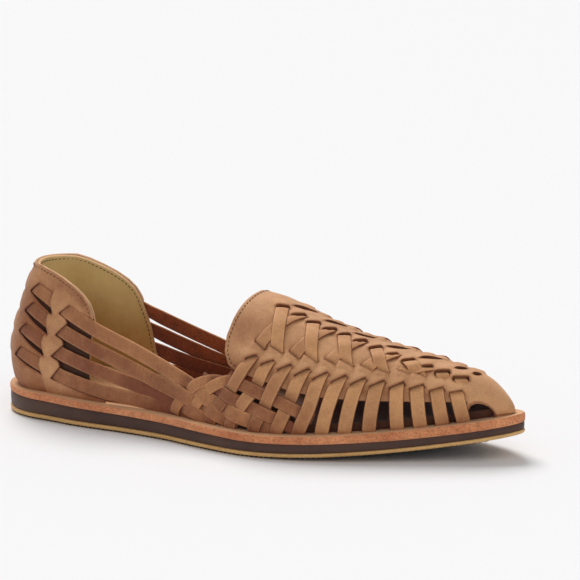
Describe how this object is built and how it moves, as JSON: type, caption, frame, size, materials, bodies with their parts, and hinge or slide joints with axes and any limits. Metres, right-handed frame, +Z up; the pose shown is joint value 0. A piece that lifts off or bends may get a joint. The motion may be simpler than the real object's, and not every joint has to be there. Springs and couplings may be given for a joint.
{
  "type": "huarache sandal",
  "caption": "Woven leather huarache slip-on for the right foot: strapped closed-toe vamp, open waist joined by free straps to a lined heel counter, flat stacked sole.",
  "frame": {"origin": "on the ground, under the middle of the sole's length and width", "axes": "+X to the toe, +Y to the inner (medial) side, +Z up"},
  "size_m": [0.262, 0.0888, 0.0736],
  "materials": {
    "gum_rubber": "honey gum rubber, satin, cut edge",
    "dark_midsole": "dark brown, buffed satin edge",
    "welt_leather": "raw vegetable-tanned edge, fibrous, terracotta",
    "insole_leather": "smooth tan footbed leather",
    "upper_leather": "waxed nubuck, light tan, matt with faint sheen",
    "heel_leather": "waxed nubuck, light tan, stitched top edge"
  },
  "bodies": {
    "root": {"outsole": "gum_rubber", "midsole": "dark_midsole", "welt": "welt_leather", "insole": "insole_leather", "upper": "upper_leather", "heel_cover": "heel_leather"}
  },
  "joints": []
}
